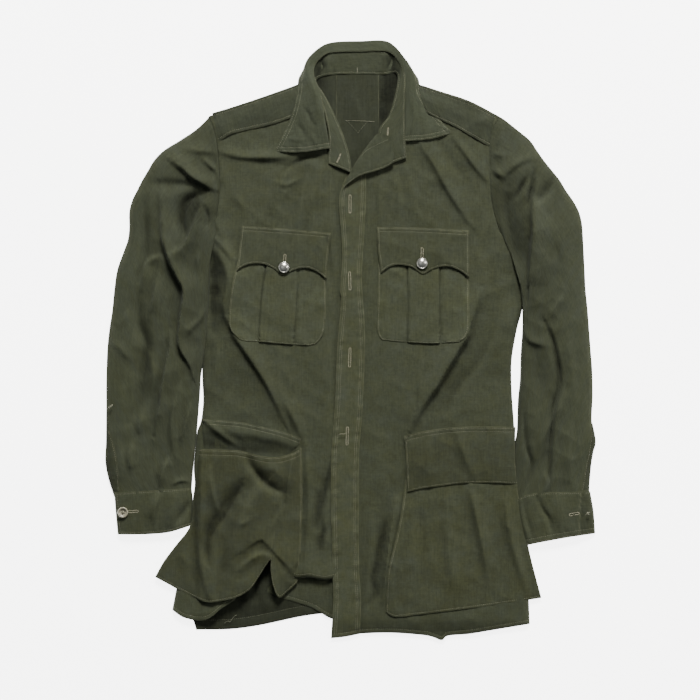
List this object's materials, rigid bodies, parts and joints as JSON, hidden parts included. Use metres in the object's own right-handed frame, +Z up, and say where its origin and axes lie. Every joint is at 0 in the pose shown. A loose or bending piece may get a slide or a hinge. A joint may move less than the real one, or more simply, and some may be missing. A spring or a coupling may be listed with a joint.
{
  "type": "bush shirt",
  "caption": "Long-sleeved bush shirt laid flat and unbuttoned at the neck, with flapped chest and skirt pockets, shoulder straps and an open collar",
  "frame": {"origin": "on the surface the shirt lies on, under the centre of its whole outline", "axes": "+Y from hem to collar, +X towards the wearer's left sleeve, +Z up off the surface"},
  "size_m": [0.709, 0.8704, 0.0226],
  "materials": {
    "cloth": "washed cotton drill, matt",
    "button_metal": "worn white metal",
    "button_horn": "polished"
  },
  "bodies": {
    "root": {"back": "cloth", "back_pleat": "cloth", "front_right": "cloth", "front_left": "cloth", "buttonhole_band": "cloth", "band_turned_end": "cloth", "chest_pocket_right": "cloth", "chest_pocket_left": "cloth", "chest_flap_right": "cloth", "chest_flap_left": "cloth", "lower_pocket_right": "cloth", "lower_pocket_gusset": "cloth", "lower_flap_right": "cloth", "lower_pocket_left": "cloth", "lower_flap_left": "cloth", "shoulder_strap_right": "cloth", "shoulder_strap_left": "cloth", "sleeve_right": "cloth", "sleeve_right_upper": "cloth", "sleeve_left": "cloth", "sleeve_binding_right": "cloth", "sleeve_binding_left": "cloth", "cuff_right": "cloth", "cuff_left": "cloth", "collar_stand": "cloth", "collar_fall": "cloth", "chest_button_right": "button_metal", "chest_button_left": "button_metal", "cuff_button_right": "button_horn"}
  },
  "joints": []
}
